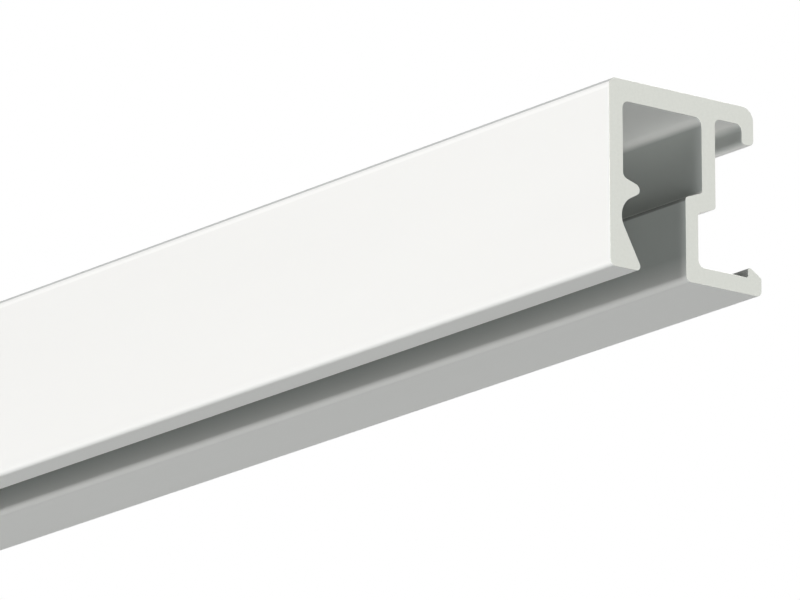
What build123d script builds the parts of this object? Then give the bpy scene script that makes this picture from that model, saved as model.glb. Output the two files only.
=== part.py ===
from build123d import *
import math
import os

# Picture rail: one length of extruded aluminium, all sizes in millimetres.
# It lies along X as it hangs on a wall, with its front face towards -Y and its wall face towards +Y.
# It stands on the undersides of its front wall and foot at Z 0, and the origin is under its middle.

# Overall size
rail_length = 1000.0
rail_depth = 14.0  # front face to wall face
rail_height = 14.0
front_bottom_round = 0.5
front_top_round = 0.65

# Front wall and top plate
front_wall = 1.25
channel_roof = 1.6  # plate over the hanger channel
recess_roof = 1.4  # plate over the recess at the wall
channel_front_round = 0.55
channel_back_round = 0.6

# Bead on the inside of the front wall, which carries the hanger's hook, and the groove and toe below it
bead_height = 6.75  # where its top leaves the wall
bead_nose_reach = 2.15  # sharp nose, measured from the wall's inner face
bead_nose_height = 6.1
bead_nose_round = 0.42
bead_root_round = 0.5
groove_sink = 0.7  # sharp bottom of the groove, sunk into the wall
groove_height = 4.48
groove_round = 1.6
toe_reach = 1.75
toe_round = 0.35

# Top lip, which hangs over the recess at the wall
top_lip_setback = 0.6  # from the wall face
top_lip_wall = 1.1
top_lip_drop = 2.85  # below the top of the rail
top_lip_back_round = 1.0
top_lip_end_outer_round = 0.45
top_lip_end_inner_round = 0.35
top_lip_root_round = 0.5

# Web between the channel and the recess, which steps forward at a sloping shoulder
channel_width = 7.3
web_wall = 1.25
web_step = 1.55  # how far the stem stands forward of the web
stem_wall = 1.15
shoulder_height = 6.82  # where the ledge in the channel meets the web
shoulder_wall = 1.36
shoulder_angle = 20.3
web_root_round = 0.5
ledge_edge_round = 0.25
ledge_root_round = 0.3
shoulder_edge_round = 0.3
shoulder_root_round = 0.3
stem_foot_round = 0.45
stem_root_round = 0.55

# Foot, with the low lip at the wall that closes the recess from below
foot_wall = 1.25
foot_back_round = 0.45
foot_lip_width = 1.25  # front of the lip to the wall face
foot_lip_height = 2.15  # sharp front edge
foot_lip_back_height = 1.4
foot_lip_root_round = 0.2
foot_lip_front_round = 0.2
foot_lip_back_round = 0.2

# Faces across the depth, from front to back
front_face = -rail_depth / 2
front_inner_face = front_face + front_wall
web_front_face = front_inner_face + channel_width
web_back_face = web_front_face + web_wall
stem_front_face = web_front_face - web_step
stem_back_face = stem_front_face + stem_wall
wall_face = rail_depth / 2
top_lip_back_face = wall_face - top_lip_setback
top_lip_front_face = top_lip_back_face - top_lip_wall
foot_lip_front_face = wall_face - foot_lip_width

# Levels
underside = 0.0
channel_roof_level = rail_height - channel_roof
recess_roof_level = rail_height - recess_roof
top_lip_end_level = rail_height - top_lip_drop

# The shoulder's two sloping faces fall towards the front
shoulder_slope = math.tan(math.radians(shoulder_angle))
shoulder_drop = shoulder_wall / math.cos(math.radians(shoulder_angle))


def ledge_level(depth):
    """Height of the shoulder's upper face at a place across the depth."""
    return shoulder_height - shoulder_slope * (web_front_face - depth)


def shoulder_underside_level(depth):
    return ledge_level(depth) - shoulder_drop


# The section's corners are (place across the depth, level, round), clockwise seen from +X.
# They go up the front, down the wall side, then round the inside of the channel.
front = [
    (front_face, underside, front_bottom_round),
    (front_face, rail_height, front_top_round),
]
top_lip = [
    (top_lip_back_face, rail_height, top_lip_back_round),
    (top_lip_back_face, top_lip_end_level, top_lip_end_outer_round),
    (top_lip_front_face, top_lip_end_level, top_lip_end_inner_round),
    (top_lip_front_face, recess_roof_level, top_lip_root_round),
]
web_back = [
    (web_back_face, recess_roof_level, web_root_round),
    (web_back_face, shoulder_underside_level(web_back_face), shoulder_edge_round),
    (stem_back_face, shoulder_underside_level(stem_back_face), shoulder_root_round),
    (stem_back_face, foot_wall, stem_root_round),
]
foot = [
    (foot_lip_front_face, foot_wall, foot_lip_root_round),
    (foot_lip_front_face, foot_lip_height, foot_lip_front_round),
    (wall_face, foot_lip_back_height, foot_lip_back_round),
    (wall_face, underside, foot_back_round),
]
channel = [
    (stem_front_face, underside, stem_foot_round),
    (stem_front_face, ledge_level(stem_front_face), ledge_edge_round),
    (web_front_face, shoulder_height, ledge_root_round),
    (web_front_face, channel_roof_level, channel_back_round),
    (front_inner_face, channel_roof_level, channel_front_round),
]
bead_and_groove = [
    (front_inner_face, bead_height, bead_root_round),
    (front_inner_face + bead_nose_reach, bead_nose_height, bead_nose_round),
    (front_inner_face - groove_sink, groove_height, groove_round),
    (front_inner_face + toe_reach, underside, toe_round),
]
section_corners = front + top_lip + web_back + foot + channel + bead_and_groove

with BuildPart() as rail:
    with BuildSketch(Plane.YZ):
        with BuildLine():
            FilletPolyline(
                [(depth, level) for depth, level, corner_round in section_corners],
                radius=[corner_round for depth, level, corner_round in section_corners],
                close=True,
            )
        make_face()
    extrude(amount=rail_length / 2, both=True)
rail.part.label = "rail"

os.makedirs("parts", exist_ok=True)
export_step(rail.part, "parts/rail.step")
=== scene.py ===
import math

import bmesh
import bpy
from mathutils import Matrix, Vector
from mathutils.geometry import tessellate_polygon


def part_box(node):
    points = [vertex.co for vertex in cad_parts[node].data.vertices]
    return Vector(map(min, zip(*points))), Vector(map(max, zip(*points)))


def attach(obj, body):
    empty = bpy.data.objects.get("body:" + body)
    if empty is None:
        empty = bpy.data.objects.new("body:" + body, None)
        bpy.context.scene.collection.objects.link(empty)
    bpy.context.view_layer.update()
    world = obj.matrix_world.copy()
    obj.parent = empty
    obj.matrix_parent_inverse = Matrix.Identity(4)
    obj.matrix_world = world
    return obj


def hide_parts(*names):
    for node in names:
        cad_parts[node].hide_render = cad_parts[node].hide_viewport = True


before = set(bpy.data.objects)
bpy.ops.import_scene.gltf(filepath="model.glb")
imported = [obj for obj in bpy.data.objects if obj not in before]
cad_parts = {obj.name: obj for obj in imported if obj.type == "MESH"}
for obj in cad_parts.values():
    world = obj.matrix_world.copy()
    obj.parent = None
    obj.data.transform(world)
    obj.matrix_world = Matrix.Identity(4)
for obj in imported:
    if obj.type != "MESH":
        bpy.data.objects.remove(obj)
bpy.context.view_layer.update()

# Everything is in metres in the part's own frame. The section is written in millimetres, and
# angles in degrees, as in the part's source.
MM = 0.001

# Overall size of the section
rail_depth = 14.0  # front face to wall face
rail_height = 14.0
front_bottom_round = 0.5
front_top_round = 0.65

# Front wall and top plate
front_wall = 1.25
channel_roof = 1.6  # plate over the hanger channel
recess_roof = 1.4  # plate over the recess at the wall
channel_front_round = 0.55
channel_back_round = 0.6

# Bead on the inside of the front wall, and the groove and toe below it
bead_height = 6.75
bead_nose_reach = 2.15
bead_nose_height = 6.1
bead_nose_round = 0.42
bead_root_round = 0.5
groove_sink = 0.7
groove_height = 4.48
groove_round = 1.6
toe_reach = 1.75
toe_round = 0.35

# Top lip, which hangs over the recess at the wall
top_lip_setback = 0.6
top_lip_wall = 1.1
top_lip_drop = 2.85
top_lip_back_round = 1.0
top_lip_end_outer_round = 0.45
top_lip_end_inner_round = 0.35
top_lip_root_round = 0.5

# Web between the channel and the recess, which steps forward at a sloping shoulder
channel_width = 7.3
web_wall = 1.25
web_step = 1.55
stem_wall = 1.15
shoulder_height = 6.82
shoulder_wall = 1.36
shoulder_angle = 20.3
web_root_round = 0.5
ledge_edge_round = 0.25
ledge_root_round = 0.3
shoulder_edge_round = 0.3
shoulder_root_round = 0.3
stem_foot_round = 0.45
stem_root_round = 0.55

# Foot, with the low lip at the wall
foot_wall = 1.25
foot_back_round = 0.45
foot_lip_width = 1.25
foot_lip_height = 2.15
foot_lip_back_height = 1.4
foot_lip_root_round = 0.2
foot_lip_front_round = 0.2
foot_lip_back_round = 0.2

# Faces across the depth, from front to back
front_face = -rail_depth / 2
front_inner_face = front_face + front_wall
web_front_face = front_inner_face + channel_width
web_back_face = web_front_face + web_wall
stem_front_face = web_front_face - web_step
stem_back_face = stem_front_face + stem_wall
wall_face = rail_depth / 2
top_lip_back_face = wall_face - top_lip_setback
top_lip_front_face = top_lip_back_face - top_lip_wall
foot_lip_front_face = wall_face - foot_lip_width

# Levels
underside = 0.0
channel_roof_level = rail_height - channel_roof
recess_roof_level = rail_height - recess_roof
top_lip_end_level = rail_height - top_lip_drop

# The shoulder's two sloping faces fall towards the front
shoulder_slope = math.tan(math.radians(shoulder_angle))
shoulder_drop = shoulder_wall / math.cos(math.radians(shoulder_angle))


def ledge_level(depth):
    """Height of the shoulder's upper face at a place across the depth."""
    return shoulder_height - shoulder_slope * (web_front_face - depth)


def shoulder_underside_level(depth):
    return ledge_level(depth) - shoulder_drop


# The section's corners are (place across the depth, level, round), clockwise seen from +X
section_corners = [
    (front_face, underside, front_bottom_round),
    (front_face, rail_height, front_top_round),
    (top_lip_back_face, rail_height, top_lip_back_round),
    (top_lip_back_face, top_lip_end_level, top_lip_end_outer_round),
    (top_lip_front_face, top_lip_end_level, top_lip_end_inner_round),
    (top_lip_front_face, recess_roof_level, top_lip_root_round),
    (web_back_face, recess_roof_level, web_root_round),
    (web_back_face, shoulder_underside_level(web_back_face), shoulder_edge_round),
    (stem_back_face, shoulder_underside_level(stem_back_face), shoulder_root_round),
    (stem_back_face, foot_wall, stem_root_round),
    (foot_lip_front_face, foot_wall, foot_lip_root_round),
    (foot_lip_front_face, foot_lip_height, foot_lip_front_round),
    (wall_face, foot_lip_back_height, foot_lip_back_round),
    (wall_face, underside, foot_back_round),
    (stem_front_face, underside, stem_foot_round),
    (stem_front_face, ledge_level(stem_front_face), ledge_edge_round),
    (web_front_face, shoulder_height, ledge_root_round),
    (web_front_face, channel_roof_level, channel_back_round),
    (front_inner_face, channel_roof_level, channel_front_round),
    (front_inner_face, bead_height, bead_root_round),
    (front_inner_face + bead_nose_reach, bead_nose_height, bead_nose_round),
    (front_inner_face - groove_sink, groove_height, groove_round),
    (front_inner_face + toe_reach, underside, toe_round),
]

# Mesh
arc_step = 7.5  # most that the outline turns between two points of a round
least_arc_steps = 3
ring_spacing = 0.05  # metres along the rail
deburr = 0.02  # millimetres of broken edge round each sawn end
coat_index, sawn_index = 0, 1  # places of the mesh's two materials

# Camera: a long lens from below the rail's level, in front of its right end
camera_azimuth = 51.883
camera_elevation = -15.737
camera_roll = -0.159
camera_place = (1.05598, -0.46218, -0.20499)
camera_lens = 474.12
camera_sensor = 36.0
camera_clip = (0.05, 20.0)

# Floor: its edge lies short of the rail's right end, which stands out over it
floor_right_edge = 0.385
floor_left_edge = -0.8
floor_half_width = 0.7
floor_gap = 0.00001
floor_paint = 0.8
floor_seen_paint = 0.6  # seen directly, it keeps the shadow and glows up to white
floor_glow = 0.57

# White coat, with painted shade and painted highlights. Each reach is in millimetres from a
# corner, from none of the colour to all of it.
coat_colour = (0.905, 0.893, 0.877)
coat_colour_cloudy = (0.895, 0.883, 0.867)
coat_roughness = 0.4
coat_roughness_spread = 0.04
coat_specular = 0.15
coat_ior = 1.5
hollow_painted_shade_colour = (0.52, 0.54, 0.525)  # painted shade on the hanger channel's side walls and the lips' inner faces
arris_painted_shade_colour = (0.58, 0.59, 0.58)  # painted shade on the top front corner, where the round turns away from the light
arris_painted_shade_reach = (0.39, 0.33)
edge_painted_highlight_colour = (0.955, 0.945, 0.93)  # painted highlight along the front face's long rounded edges
top_painted_highlight_reach = (0.82, 0.74)
bottom_painted_highlight_reach = (0.36, 0.26)
ledge_painted_shade_colour = (0.27, 0.275, 0.265)  # painted shade on the ledge's edge, standing in for the shaded crease behind it
ledge_painted_shade_reach = (0.3, 0.2)
lip_corner_painted_shade_colour = (0.35, 0.355, 0.345)  # painted shade in the narrow corner in front of the foot lip
lip_corner_painted_shade_reach = (1.0, 0.75)

# Where the painted shade in the channel and recess begins, in millimetres from the named face,
# from none of it to all of it
shade_behind_front = (0.4, 0.5)
shade_at_web = (0.2, 0.1)
shade_above_underside = (0.1, 2.0)
shade_at_roof = (0.2, 0.1)
shade_behind_web = (0.0, 0.5)
shade_tilt = 0.6  # a normal that rises or falls by this much takes no painted shade

# Relief and clouds of the coat. Scales are per metre, a stretch is the share of the scale along
# X, Y and Z, and heights are in metres.
die_line_scale = 2600.0
die_line_stretch = (0.004, 1.0, 1.0)
die_line_height = 0.0000012
cloud_scale = 160.0
cloud_stretch = (0.15, 1.0, 1.0)
peel_scale = 1100.0
peel_height = 0.000004
noise_middle = (0.3, 0.7)  # part of a noise's range that is spread over the whole of it

# Sawn ends: the blade's marks run round a centre below and behind the section
sawn_colour = (0.575, 0.584, 0.547)
sawn_colour_dull = (0.567, 0.576, 0.539)
sawn_roughness = 0.5
sawn_roughness_spread = 0.05
saw_offset = (0.0, -0.06, 0.11)
saw_mark_scale = 900.0
saw_mark_height = 0.0000015
saw_mark_waver = {"Distortion": 2.5, "Detail": 3.0, "Detail Scale": 0.4}
grain_scale = 4000.0
grain_detail = 3.0
grain_height = 0.000001

# Light
ambient_colour = (0.95, 1.0, 0.98)
ambient_level = 0.1
white = (1.0, 1.0, 1.0)
cool = (0.97, 1.0, 0.985)

# Lamps: (azimuth, elevation, level, spread, colour)
lamps = {
    "front": (-7, 8, 0.78, 34, white),
    "right": (82, -15, 0.33, 34, cool),
    "right_low": (68, -35, 0.28, 34, cool),
    "below": (0, -72, 0.06, 14, cool),
    "back_high": (180, 46, 0.72, 34, white),
}


def add_object(name, data):
    """A new object in the scene."""
    made = bpy.data.objects.new(name, data)
    bpy.context.scene.collection.objects.link(made)
    return made


def rounded_outline(corners):
    """The section's points and outward normals, in metres, with every corner rounded.

    The corners run clockwise seen from +X."""
    points, normals = [], []
    for i, (y, z, r) in enumerate(corners):
        corner = Vector((y, z))
        before = Vector(corners[i - 1][:2])
        after = Vector(corners[(i + 1) % len(corners)][:2])
        to_before = (before - corner).normalized()
        to_after = (after - corner).normalized()
        half = to_before.angle(to_after) / 2
        centre = corner + (to_before + to_after).normalized() * (r / math.sin(half))
        start = (corner + to_before * (r / math.tan(half)) - centre).normalized()
        end = (corner + to_after * (r / math.tan(half)) - centre).normalized()
        turn = math.pi - 2 * half
        convex = to_before.x * to_after.y - to_before.y * to_after.x > 0
        steps = max(least_arc_steps, math.ceil(turn / math.radians(arc_step)))
        for k in range(steps + 1):
            radial = start.slerp(end, k / steps)
            points.append((centre + radial * r) * MM)
            normals.append(radial if convex else -radial)
    return points, normals


def drawn_in(points, normals, inset):
    return [(p.x - n.x * inset, p.y - n.y * inset) for p, n in zip(points, normals)]


def ring_places(left, right):
    """(place along the rail, how far the outline is drawn in) for each ring of the mesh."""
    edge = deburr * MM
    inner_left, inner_right = left + edge, right - edge
    length = inner_right - inner_left
    spans = round(length / ring_spacing)
    inner = [(inner_left + length * i / spans, 0.0) for i in range(spans + 1)]
    return [(left, edge), *inner, (right, edge)]


def rail_mesh(name):
    """The rail as a fine mesh with exact normals.

    Its long faces are smooth, and each sawn end is flat with a broken edge round it."""
    lo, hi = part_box("rail")
    points, normals = rounded_outline(section_corners)
    count = len(points)
    rings = ring_places(lo.x, hi.x)
    last = len(rings) - 1
    bm = bmesh.new()
    verts = []
    for x, inset in rings:
        verts.append([bm.verts.new((x, y, z)) for y, z in drawn_in(points, normals, inset)])
    for i in range(last):
        for j in range(count):
            k = (j + 1) % count
            face = bm.faces.new((verts[i][j], verts[i + 1][j], verts[i + 1][k], verts[i][k]))
            face.material_index = sawn_index if i in (0, last - 1) else coat_index
            face.smooth = True
    flat = [Vector((y, z, 0.0)) for y, z in drawn_in(points, normals, deburr * MM)]
    for corners in tessellate_polygon([flat]):
        for ring in (verts[0], verts[last]):
            face = bm.faces.new([ring[k] for k in corners])
            face.material_index = sawn_index
            face.smooth = True
    bmesh.ops.recalc_face_normals(bm, faces=bm.faces)
    mesh = bpy.data.meshes.new(name)
    bm.verts.index_update()
    bm.to_mesh(mesh)
    bm.free()
    end_normals = {0: (-1.0, 0.0, 0.0), last: (1.0, 0.0, 0.0)}
    corner_normals = []
    for polygon in mesh.polygons:
        for v in polygon.vertices:
            ring, j = divmod(v, count)
            along_rail = (0.0, normals[j].x, normals[j].y)
            corner_normals.append(end_normals.get(ring, along_rail))
    mesh.normals_split_custom_set(corner_normals)
    return add_object(name, mesh)


def new_material(name):
    """A material whose nodes are one Principled BSDF and its output."""
    material = bpy.data.materials.new(name)
    material.use_nodes = True
    tree = material.node_tree
    return material, tree, tree.nodes["Principled BSDF"]


def node(tree, kind, inputs=None, **settings):
    """A node of that kind, with its settings and its inputs' values or links."""
    made = tree.nodes.new(kind)
    for key, value in settings.items():
        setattr(made, key, value)
    for key, value in (inputs or {}).items():
        if isinstance(value, bpy.types.NodeSocket):
            tree.links.new(value, made.inputs[key])
        else:
            made.inputs[key].default_value = value
    return made


def opaque(colour):
    return (*colour, 1.0)


def stretched(tree, place, scale):
    """The place with each axis scaled on its own."""
    return node(tree, "ShaderNodeMapping", {"Vector": place, "Scale": scale}).outputs[0]


def noise(tree, place, scale, detail=2.0):
    inputs = {"Vector": place, "Scale": scale, "Detail": detail}
    return node(tree, "ShaderNodeTexNoise", inputs).outputs["Fac"]


def ramp(tree, value, start, end, low=0.0, high=1.0):
    """low at start, high at end and straight between, with end on either side of start."""
    inputs = {"Value": value, "From Min": start, "From Max": end, "To Min": low, "To Max": high}
    return node(tree, "ShaderNodeMapRange", inputs).outputs[0]


def face_ramp(tree, place, face, begin):
    """0 to 1 over the two distances of begin, which are in millimetres from the face."""
    return ramp(tree, place, (face + begin[0]) * MM, (face + begin[1]) * MM)


def between(tree, value, low, high):
    """A noise's middle part spread over low to high."""
    return ramp(tree, value, *noise_middle, low, high)


def around(tree, value, middle, spread):
    return between(tree, value, middle - spread, middle + spread)


def over(tree, below, colour, share):
    """The colour laid over what is below, by its share."""
    inputs = {0: share, 6: below, 7: opaque(colour)}  # 6 and 7 are the sockets for colours
    return node(tree, "ShaderNodeMix", inputs, data_type="RGBA").outputs[2]


def blend_of(tree, value, first, second):
    """The colour between first and second where a noise says."""
    return over(tree, opaque(first), second, between(tree, value, 0.0, 1.0))


def combined(tree, operation, first, *others):
    """The values put together by a Math node's operation, one after the other."""
    for other in others:
        maths = node(tree, "ShaderNodeMath", {0: first, 1: other}, operation=operation)
        first = maths.outputs[0]
    return first


def bump(tree, height, distance, below=None):
    inputs = {"Height": height, "Distance": distance, "Strength": 1.0}
    if below is not None:
        inputs["Normal"] = below
    return node(tree, "ShaderNodeBump", inputs).outputs[0]


def painted_shade_in_hollows(tree, place, normal):
    """1 where shade is painted into the coat and 0 where the coat keeps its full colour.

    The painted shade lies on the hanger channel's side walls away from the open slot, where they
    don't face up or down, and on the inner faces of the two lips, which face away from the
    recess's mouth."""
    at = node(tree, "ShaderNodeSeparateXYZ", {0: place})
    depth, level = at.outputs["Y"], at.outputs["Z"]
    facing = node(tree, "ShaderNodeSeparateXYZ", {0: normal})
    behind_front = face_ramp(tree, depth, front_face, shade_behind_front)
    before_web = face_ramp(tree, depth, web_front_face, shade_at_web)
    above_slot = face_ramp(tree, level, underside, shade_above_underside)
    under_roof = face_ramp(tree, level, channel_roof_level, shade_at_roof)
    tilt = node(tree, "ShaderNodeMath", {0: facing.outputs["Z"]}, operation="ABSOLUTE")
    upright_share = ramp(tree, tilt.outputs[0], shade_tilt, 0.0)
    in_channel = (behind_front, before_web, above_slot, under_roof)
    channel = combined(tree, "MULTIPLY", *in_channel, upright_share)
    in_recess = face_ramp(tree, depth, web_back_face, shade_behind_web)
    away_from_mouth = ramp(tree, facing.outputs["Y"], 0.0, -1.0)
    lips = combined(tree, "MULTIPLY", in_recess, away_from_mouth)
    return combined(tree, "MAXIMUM", channel, lips)


def along_edge(tree, place, corner, reach):
    """1 along one edge of the section and 0 away from it."""
    at = node(tree, "ShaderNodeSeparateXYZ", {0: place})
    in_section = {"Y": at.outputs["Y"], "Z": at.outputs["Z"]}
    across = node(tree, "ShaderNodeCombineXYZ", in_section).outputs[0]
    ends = {0: across, 1: (0.0, corner[0] * MM, corner[1] * MM)}
    away = node(tree, "ShaderNodeVectorMath", ends, operation="DISTANCE").outputs["Value"]
    return ramp(tree, away, reach[0] * MM, reach[1] * MM)


def coat_material():
    """White powder coat: satin, with faint die lines along the rail and a fine orange peel. Shade
    and highlights are painted into its colour along some edges and in the hollows.
    """
    material, tree, shader = new_material("white_powder_coat")
    source = node(tree, "ShaderNodeTexCoord")
    place = source.outputs["Object"]
    die_lines = noise(tree, stretched(tree, place, die_line_stretch), die_line_scale)
    cloud = noise(tree, stretched(tree, place, cloud_stretch), cloud_scale)
    peel = noise(tree, place, peel_scale)
    hollow_shade_share = painted_shade_in_hollows(tree, place, source.outputs["Normal"])
    colour = blend_of(tree, cloud, coat_colour, coat_colour_cloudy)
    # Painted shade in the hanger channel and on the lips' inner faces
    colour = over(tree, colour, hollow_painted_shade_colour, hollow_shade_share)
    top_corner = (front_face, rail_height)
    bottom_corner = (front_face, underside)
    ledge_corner = (stem_front_face, ledge_level(stem_front_face))
    lip_corner = (foot_lip_front_face, foot_wall)
    # Painted highlights along the front face's long edges, and painted shade on the top front
    # corner, the ledge's edge and the corner in front of the foot lip
    for corner, reach, edge_colour in [
        (top_corner, top_painted_highlight_reach, edge_painted_highlight_colour),
        (bottom_corner, bottom_painted_highlight_reach, edge_painted_highlight_colour),
        (top_corner, arris_painted_shade_reach, arris_painted_shade_colour),
        (ledge_corner, ledge_painted_shade_reach, ledge_painted_shade_colour),
        (lip_corner, lip_corner_painted_shade_reach, lip_corner_painted_shade_colour),
    ]:
        colour = over(tree, colour, edge_colour, along_edge(tree, place, corner, reach))
    roughness = around(tree, die_lines, coat_roughness, coat_roughness_spread)
    relief = bump(tree, peel, peel_height, bump(tree, die_lines, die_line_height))
    shader.inputs["IOR"].default_value = coat_ior
    shader.inputs["Specular IOR Level"].default_value = coat_specular
    tree.links.new(colour, shader.inputs["Base Color"])
    tree.links.new(roughness, shader.inputs["Roughness"])
    tree.links.new(relief, shader.inputs["Normal"])
    return material


def sawn_material():
    """Sawn aluminium: dull metal with the faint arcs of a large blade."""
    material, tree, shader = new_material("sawn_aluminium")
    place = node(tree, "ShaderNodeTexCoord").outputs["Object"]
    to_blade = node(tree, "ShaderNodeMapping", {"Vector": place, "Location": saw_offset})
    rings = {"Vector": to_blade.outputs[0], "Scale": saw_mark_scale, **saw_mark_waver}
    marks = node(tree, "ShaderNodeTexWave", rings,
                 wave_type="RINGS", rings_direction="X", wave_profile="SIN")
    grain = noise(tree, place, grain_scale, grain_detail)
    colour = blend_of(tree, grain, sawn_colour, sawn_colour_dull)
    roughness = around(tree, grain, sawn_roughness, sawn_roughness_spread)
    arcs = bump(tree, marks.outputs["Fac"], saw_mark_height)
    relief = bump(tree, grain, grain_height, arcs)
    shader.inputs["Metallic"].default_value = 1.0
    tree.links.new(colour, shader.inputs["Base Color"])
    tree.links.new(roughness, shader.inputs["Roughness"])
    tree.links.new(relief, shader.inputs["Normal"])
    return material


def direction(azimuth, elevation):
    """Unit vector towards an azimuth, 0 in front of the rail and 90 off its right end."""
    a, e = math.radians(azimuth), math.radians(elevation)
    return Vector((math.sin(a) * math.cos(e), -math.cos(a) * math.cos(e), math.sin(e)))


def make_camera():
    data = bpy.data.cameras.new("camera")
    data.sensor_width = camera_sensor
    data.lens = camera_lens
    data.clip_start, data.clip_end = camera_clip
    camera = add_object("camera", data)
    roll = math.radians(camera_roll)
    back = direction(camera_azimuth, camera_elevation)
    right = (-back).cross(Vector((0, 0, 1))).normalized()
    up = right.cross(-back)
    turned_right = right * math.cos(roll) + up * math.sin(roll)
    turned_up = up * math.cos(roll) - right * math.sin(roll)
    axes = Matrix((turned_right, turned_up, back)).transposed().to_4x4()
    camera.matrix_world = Matrix.Translation(camera_place) @ axes
    bpy.context.scene.camera = camera


def seen_directly(tree):
    """1 for a camera, glossy or transmission ray, and 0 for the rays that light the object."""
    path = node(tree, "ShaderNodeLightPath")
    rays = ("Is Camera Ray", "Is Glossy Ray", "Is Transmission Ray")
    return combined(tree, "MAXIMUM", *(path.outputs[ray] for ray in rays))


def make_world():
    world = bpy.data.worlds.new("studio")
    bpy.context.scene.world = world
    world.use_nodes = True
    tree = world.node_tree
    tree.nodes.clear()
    dim = {"Color": opaque(ambient_colour), "Strength": ambient_level}
    ambient = node(tree, "ShaderNodeBackground", dim).outputs[0]
    bright = {"Color": opaque(white), "Strength": 1.0}
    backdrop = node(tree, "ShaderNodeBackground", bright).outputs[0]
    both = node(tree, "ShaderNodeMixShader", {0: seen_directly(tree), 1: ambient, 2: backdrop})
    node(tree, "ShaderNodeOutputWorld", {"Surface": both.outputs[0]})


def sun(name, azimuth, elevation, level, spread, colour):
    """A far, soft lamp in that direction, which lights a white face square to it to that level."""
    data = bpy.data.lights.new(name, "SUN")
    data.energy = level * math.pi
    data.angle = math.radians(spread)
    data.color = colour
    lamp = add_object(name, data)
    lamp.rotation_mode = "QUATERNION"
    lamp.rotation_quaternion = direction(azimuth, elevation).to_track_quat("Z", "Y")


def floor_material():
    """White paint, which glows where it is seen directly and keeps the rail's shadow."""
    material = bpy.data.materials.new("floor")
    material.use_nodes = True
    tree = material.node_tree
    tree.nodes.clear()
    paint = node(tree, "ShaderNodeBsdfDiffuse", {"Color": opaque([floor_paint] * 3)}).outputs[0]
    shadow = node(tree, "ShaderNodeBsdfDiffuse", {"Color": opaque([floor_seen_paint] * 3)})
    glow = node(tree, "ShaderNodeEmission", {"Color": opaque(white), "Strength": floor_glow})
    seen = node(tree, "ShaderNodeAddShader", {0: shadow.outputs[0], 1: glow.outputs[0]})
    shaders = {0: seen_directly(tree), 1: paint, 2: seen.outputs[0]}
    both = node(tree, "ShaderNodeMixShader", shaders)
    node(tree, "ShaderNodeOutputMaterial", {"Surface": both.outputs[0]})
    return material


def make_floor():
    mesh = bpy.data.meshes.new("floor")
    left, right, half, z = floor_left_edge, floor_right_edge, floor_half_width, -floor_gap
    corners = [(left, -half, z), (right, -half, z), (right, half, z), (left, half, z)]
    mesh.from_pydata(corners, [], [(0, 1, 2, 3)])
    mesh.materials.append(floor_material())
    floor = add_object("floor", mesh)


make_camera()
make_world()
make_floor()
for lamp_name, settings in lamps.items():
    sun(lamp_name, *settings)

rail = rail_mesh("rail_stock")
rail.data.materials.append(coat_material())
rail.data.materials.append(sawn_material())
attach(rail, "root")
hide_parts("rail")

bpy.context.scene.view_settings.view_transform = "Standard"
